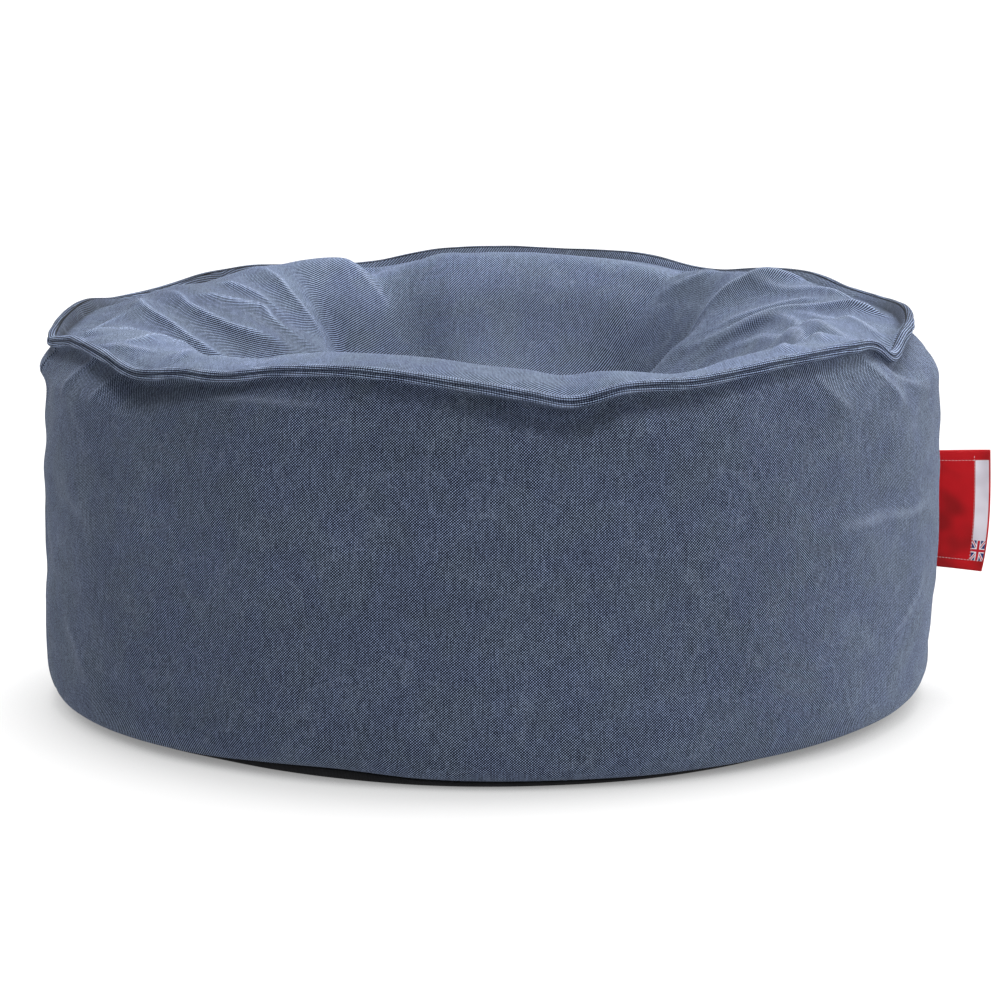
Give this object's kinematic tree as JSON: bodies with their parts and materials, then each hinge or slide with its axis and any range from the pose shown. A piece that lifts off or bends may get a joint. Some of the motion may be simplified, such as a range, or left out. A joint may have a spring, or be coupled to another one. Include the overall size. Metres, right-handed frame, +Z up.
{
  "type": "bean bag pouf",
  "caption": "Low round bean-bag pouf in canvas, with a seat hollow pressed into its top, a stitched rim welt, a base panel and a bare side label.",
  "frame": {"origin": "centre of the base panel's underside, on the floor", "axes": "+Z up, -Y towards the pictured front, +X to the side with the label"},
  "size_m": [0.7095, 0.6624, 0.2978],
  "materials": {
    "canvas": "stonewashed navy canvas, plain weave",
    "welt_canvas": "stonewashed navy canvas, paler on its worn edges",
    "black_cloth": "black woven cloth",
    "red_tape": "red satin tape"
  },
  "bodies": {
    "root": {"pouf_body": "canvas", "rim_welt": "welt_canvas", "base_panel": "black_cloth", "side_label": "red_tape"}
  },
  "joints": []
}
